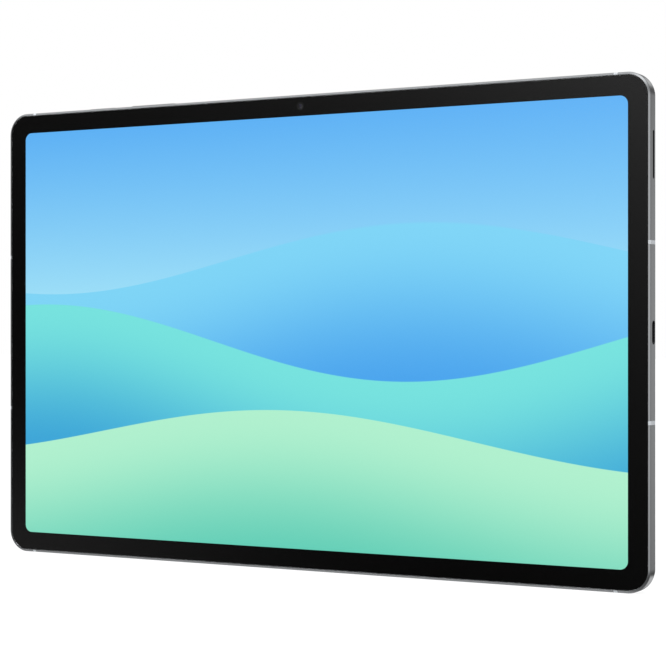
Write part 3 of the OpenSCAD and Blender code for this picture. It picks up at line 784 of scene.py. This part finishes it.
def makeKey(name, node, x, length, rise, flange, nubs, nubEnd, rib=0.0):
    # crown, stem and flange in one, with nubs for the switches
    shape = keyShape
    crown = shape["crown"]
    rings = [(-crown * (1 - math.sin(math.radians(t))), -rise + crown * (1 - math.cos(math.radians(t))))
             for t in (0, 20, 45, 70, 90)]
    stem = edgePill(name, "top", x, shape["level"], length, shape["width"],
                    [(grow, depth) for grow, depth in rings] + [(0, flange + 0.0001)])
    parts = [stem, edgePill("flange", "top", x, shape["level"], length + 2 * shape["flangeOver"], shape["width"],
                            [(-0.00005, flange), (0, flange + 0.00005), (0, flange + shape["flange"])])]
    for nubX in nubs:
        parts.append(edgePill("nub", "top", x + nubX, shape["level"], 2 * shape["nub"] + 0.00001, 2 * shape["nub"],
                              [(0, flange + shape["flange"] - 0.0001), (0, nubEnd - 0.00008), (-0.00008, nubEnd)]))
    if rib:
        steps = 16
        rings = []
        for level in (shape["level"] - shape["width"] / 2, shape["level"] + shape["width"] / 2):
            rings.append([edgePlace("top", x + rib * math.cos(math.pi * k / steps), level,
                                    flange + shape["flange"] + rib * math.sin(math.pi * k / steps))
                          for k in range(steps + 1)])
        parts.append(loft("rib", rings))
    return finished(joined(name, parts), [node], "frame_metal", node)


makeKey("power_key", "power_button", powerX, 0.0138, 0.00035, 0.00185, [0.0], 0.0027)
makeKey("volume_key", "volume_rocker", volumeX,
        0.0223, 0.00045, 0.00215, [-0.007, 0.007], 0.00283, 0.00035)
print("keys made")

# ---- speaker meshes ----
meshShape = {"length": 0.018, "width": 0.0014, "face": 0.00045, "thick": 0.0003, "hole": 0.00014, "pitch": 0.00046,
             "rows": 3, "flange": 0.0003}


def makeSpeakerMesh(side, node, shape):
    face, back = shape["face"], shape["face"] + shape["thick"]
    plate = edgePill(side + "_speaker_mesh", side, speakerY, -0.0005, shape["length"], shape["width"],
                     [(-0.00004, face), (0, face + 0.00004), (0, back)])
    drill = loft("drill", [[Vector((depth, shape["hole"] * math.cos(math.pi * k / 6), shape["hole"] * math.sin(math.pi * k / 6)))
                            for k in range(12)] for depth in (-0.001, 0.001)])
    spots = []
    middleRow = (shape["rows"] - 1) / 2
    for row in range(shape["rows"]):
        level = -0.0005 + (row - middleRow) * shape["pitch"] * 0.87
        shift = (row % 2) * shape["pitch"] / 2
        reach = shape["length"] / 2 - 0.0005 - abs(row - middleRow) * 0.0002
        count = int(reach / shape["pitch"])
        for k in range(-count, count + (0 if shift else 1)):
            spots.append((edgePlace(side, speakerY + k * shape["pitch"] + shift, level, (face + back) / 2), 0.0))
    drills = copiesOf("drills", drill, spots, materials["mesh"])
    cutBy(plate, [drills])
    wall = frameShape["wall"]
    collar = edgePill("collar", side, speakerY, -0.0005, shape["length"], shape["width"], [(0, back), (0, wall)])
    inner = edgePill("inner", side, speakerY, -0.0005, shape["length"], shape["width"],
                     [(-0.00012, back - 0.0001), (-0.00012, wall + 0.0004)])
    flange = edgePill("flange", side, speakerY, -0.0005, shape["length"] + 0.0017, shape["width"] + 0.0003,
                      [(0, wall), (0, wall + shape["flange"])])
    body = joined("body", [collar])
    cutBy(body, [inner])
    return finished(joined(side + "_speaker_mesh", [plate, body, flange]), [node], "mesh")


makeSpeakerMesh("right", "speaker_mesh_right", meshShape)
makeSpeakerMesh("left", "speaker_mesh_left", meshShape)
print("speaker meshes made")

# ---- cameras ----
ringShape = {"outer": 0.0066, "rise": 0.001, "bore": 0.0046, "seat": 0.0052, "soft": 0.0003}


def makeCameraRing(shape):
    rear = -halfDepth
    top = rear - shape["rise"]
    soft = shape["soft"]
    rounding = [(shape["outer"] - soft * (1 - math.sin(math.radians(t))), top + soft * (1 - math.cos(math.radians(t))))
                for t in (0, 15, 30, 45, 60, 75, 90)]
    section = [(shape["bore"], rear + 0.0009), (shape["bore"], rear - 0.00045), (shape["seat"], rear - 0.00045),
               (shape["seat"], rear - 0.00085), (shape["seat"] + 0.00015, top)] + rounding + [
               (shape["outer"], rear), (0.00595, rear), (0.00595, rear + 0.0009)]
    ring = loft("camera_ring", disc(ringX, ringY, section, 128), wrap=True)
    return finished(ring, ["rear_camera_ring"], "ring_metal")


makeCameraRing(ringShape)
rear = -halfDepth
baffles = loft("rear_baffles", disc(ringX, ringY, [
    (0.0043, rear - 0.00028), (0.0034, rear - 0.00028), (0.0034, rear - 0.00012), (0.0028, rear - 0.00012),
    (0.0028, rear + 0.0001), (0.0023, rear + 0.0001), (0.0023, rear + 0.0004), (0.0043, rear + 0.0004)]), wrap=True)
finished(baffles, [], "black_plastic")
domeTop = dome(0.00225, 0.0002 - rear, 0.0004)
rearDome = loft("rear_lens_dome", disc(ringX, ringY, [(r, -level) for r, level in domeTop] + [(0.00225, rear + 0.0005)]))
finished(rearDome, [], "lens")

frontX, frontY = middleOf("front_camera_lens")[:2]
frontTop = -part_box("front_camera_lens")[0].y
frontDome = loft("front_lens_dome", disc(frontX, frontY, dome(0.00078, frontTop, 0.00008)
                 + [(0.00098, frontTop - 0.0003), (0.00098, frontTop - 0.001)], 64))
finished(frontDome, ["front_camera_lens"], "lens")
print("cameras made")

# ---- finishes of the CAD nodes that stay ----
slots = {part["node"]: part["material_slot"] for part in frame["record"]["subparts"]}
# painted shade: the USB socket's shell gets the darker nickel in place of its recorded finish, so the socket reads
# dark inside as its shaded recess does
shadeDarkenedSlots = {"usb_shell": "dark_nickel"}
for nodeName, node in frame["nodes"].items():
    for k in range(max(1, len(node.material_slots))):
        if not node.material_slots:
            node.data.materials.append(None)
        node.material_slots[k].material = materials[shadeDarkenedSlots.get(nodeName, slots[nodeName])]
frame["nodes"]["display_panel"].visible_diffuse = False
rearGlass = clearGlass("rear_glass", (225, 230, 240), 0.01, 1.5)
for k in range(len(frame["nodes"]["rear_camera_glass"].material_slots)):
    frame["nodes"]["rear_camera_glass"].material_slots[k].material = rearGlass

# ---- studio ----
studio = {
    "floorSize": 12.0,
    "floorColour": (100, 100, 101),
    "floorGlow": 0.9,
    "backdrop": 1.0,
    "skyStrength": 3.0,
    "skySpread": 100,
    "ring": 0.1,           # light all around
    "leftPanel": 0.13,
    "rightPanel": 1.12,
    "cornerPanel": 0.6,
    "rearPanel": 0.5,
    "sidePanels": 0.4,
    "overhead": 0.72,
    "below": 0.85,
    "frontCap": 0.9,       # brightest part of the soft light that shows in the glass
    "frontLow": 0.29,      # and of the small one low in front
}


def makeStudio(values):
    floor = pieceFrom("floor", bpy.data.meshes.new("floor"))
    half = values["floorSize"] / 2
    corners = [(-half, -half, 0), (half, -half, 0), (half, half, 0), (-half, half, 0)]
    floor.data.from_pydata(corners, [], [(0, 1, 2, 3)])
    material, wires, shader, coordinates = newMaterial("floor")
    pale = linear(values["floorColour"])
    wires.feed(shader.inputs["Base Color"],
               wires.mix(speckle(wires, coordinates, 0.02), tuple(c * 0.99 for c in pale[:3]) + (1.0,), pale))
    shader.inputs["Roughness"].default_value = 0.9
    shader.inputs["Specular IOR Level"].default_value = 0.0
    shader.inputs["Emission Color"].default_value = (1.0, 1.0, 1.0, 1.0)
    shader.inputs["Emission Strength"].default_value = values["floorGlow"]
    floor.data.materials.append(material)
    floor.visible_glossy = False
    floor.visible_transmission = True

    lamp = bpy.data.lights.new("sky", "SUN")
    lamp.energy = values["skyStrength"]
    lamp.angle = math.radians(values["skySpread"])
    sky = bpy.data.objects.new("sky", lamp)
    sky.rotation_euler = (math.radians(18), math.radians(8), 0)
    sky.visible_glossy = False
    bpy.context.scene.collection.objects.link(sky)

    world = bpy.data.worlds.new("studio")
    world.use_nodes = True
    bpy.context.scene.world = world
    tree = world.node_tree
    tree.nodes.clear()
    wires = Wires(tree)
    direction = wires.node("ShaderNodeTexCoord").outputs["Generated"]
    split = wires.node("ShaderNodeSeparateXYZ")
    wires.feed(split.inputs[0], direction)
    up = split.outputs["Z"]

    def panel(towards, spread, strength):
        # a soft round patch of light
        aim = Vector(towards).normalized()
        facing = wires.vector("DOT_PRODUCT", direction, tuple(aim))
        return wires.math("MULTIPLY", wires.math("EXPONENT", wires.math(
            "MULTIPLY", wires.math("SUBTRACT", facing, 1.0), 1 / (1 - math.cos(math.radians(spread))))), strength)

    # the glass faces a dark side of the room, which brightens up and to the right
    turn = math.radians(29.325)
    forward = wires.vector("DOT_PRODUCT", direction, (-math.sin(turn), -math.cos(turn), 0.0))
    aside = wires.vector("DOT_PRODUCT", direction, (math.cos(turn), -math.sin(turn), 0.0))
    around = wires.math("MULTIPLY", wires.steps(forward, 0.9, 0.3), values["ring"])
    # a ring of panels in front, off to the side of what the glass shows, lights the chamfer
    light = wires.math("ADD", around, panel((0.645, -0.764, 0.0), 16, values["rightPanel"]))
    light = wires.math("ADD", light, panel((0.27, -0.61, 0.75), 24, values["cornerPanel"]))
    light = wires.math("ADD", light, panel((0.27, -0.61, -0.75), 24, values["cornerPanel"]))
    light = wires.math("ADD", light, panel((-0.98, 0.15, 0.0), 40, values["leftPanel"]))
    light = wires.math("MULTIPLY", light, wires.math("EXPONENT", wires.math("MULTIPLY", up, 1.5)))
    # the rear light fades above and below, where a brighter strip follows
    away = wires.math("ABSOLUTE", up)
    fade = wires.math("POWER", wires.math("DIVIDE", wires.math("SUBTRACT", away, 0.25), 0.12), 2.0)
    fade = wires.math("MULTIPLY", wires.math("EXPONENT", wires.math("MULTIPLY", fade, -1.0)), -0.92)
    strips = wires.math("ADD", wires.steps(up, 0.31, 0.37, 1.0, 3.4), wires.steps(up, -0.25, -0.32, 0.0, 2.2))
    rearLight = wires.math("MULTIPLY", panel((0.25, 0.97, 0.0), 30, values["rearPanel"]),
                           wires.math("ADD", fade, strips))
    light = wires.math("ADD", light, rearLight)
    # three more light the metal for someone who walks round it
    for towards, spread in (((1.0, 0.05, 0.0), 20), ((0.66, 0.66, -0.42), 16), ((-0.6, 0.6, 0.45), 18)):
        light = wires.math("ADD", light, panel(towards, spread, values["sidePanels"]))
    light = wires.math("ADD", light, panel((-0.4, -0.1, 0.9), 32, values["overhead"]))
    light = wires.math("ADD", light, panel((-0.4, -0.1, -0.9), 32, values["below"]))
    slope = wires.math("ADD", wires.math("MULTIPLY", aside, 6.7), wires.math("MULTIPLY", up, 9.4))
    soft = wires.math("EXPONENT", wires.math("SUBTRACT", slope, 2.77))
    soft = wires.math("MINIMUM", soft, values["frontCap"])
    light = wires.math("ADD", light, wires.math("MULTIPLY", soft, wires.steps(forward, 0.3, 0.8)))

    def bell(value, middle, spread):
        return wires.math("POWER", wires.math("DIVIDE", wires.math("SUBTRACT", value, middle), spread), 2.0)

    low = wires.math("ADD", bell(aside, -0.2, 0.133), bell(up, -0.139, 0.07))
    low = wires.math("MULTIPLY", wires.math("EXPONENT", wires.math("MULTIPLY", low, -1.0)), values["frontLow"])
    light = wires.math("ADD", light, wires.math("MULTIPLY", low, wires.steps(forward, 0.3, 0.8)))

    seen = wires.node("ShaderNodeLightPath").outputs["Is Camera Ray"]
    strength = wires.math("ADD", wires.math("MULTIPLY", seen, values["backdrop"]),
                          wires.math("MULTIPLY", wires.math("SUBTRACT", 1.0, seen), light))
    background = wires.node("ShaderNodeBackground")
    background.inputs["Color"].default_value = (1.0, 1.0, 1.0, 1.0)
    wires.feed(background.inputs["Strength"], strength)
    output = wires.node("ShaderNodeOutputWorld")
    wires.feed(output.inputs["Surface"], background.outputs["Background"])
    bpy.context.scene.view_settings.view_transform = "Standard"
    bpy.context.scene.view_settings.look = "None"


makeStudio(studio)

# ---- camera ----
cameraShape = {
    "lens": 103.29,
    "sensor": 36.0,
    "across": 0.3946,        # to the right of the tablet's middle
    "distance": 0.6748,      # in front of the glass
    "turn": 29.325,          # towards the left, in degrees
    "shift": -0.00065,
}
lens = bpy.data.cameras.new("camera")
lens.lens = cameraShape["lens"]
lens.sensor_width = cameraShape["sensor"]
lens.shift_y = cameraShape["shift"]
lens.clip_start = 0.01
lens.clip_end = 50
camera = bpy.data.objects.new("camera", lens)
camera.location = (cameraShape["across"], frameLow.y - cameraShape["distance"], halfHeight)
camera.rotation_euler = (math.radians(90), 0, math.radians(cameraShape["turn"]))
bpy.context.scene.collection.objects.link(camera)
bpy.context.scene.camera = camera
print("studio and camera made")
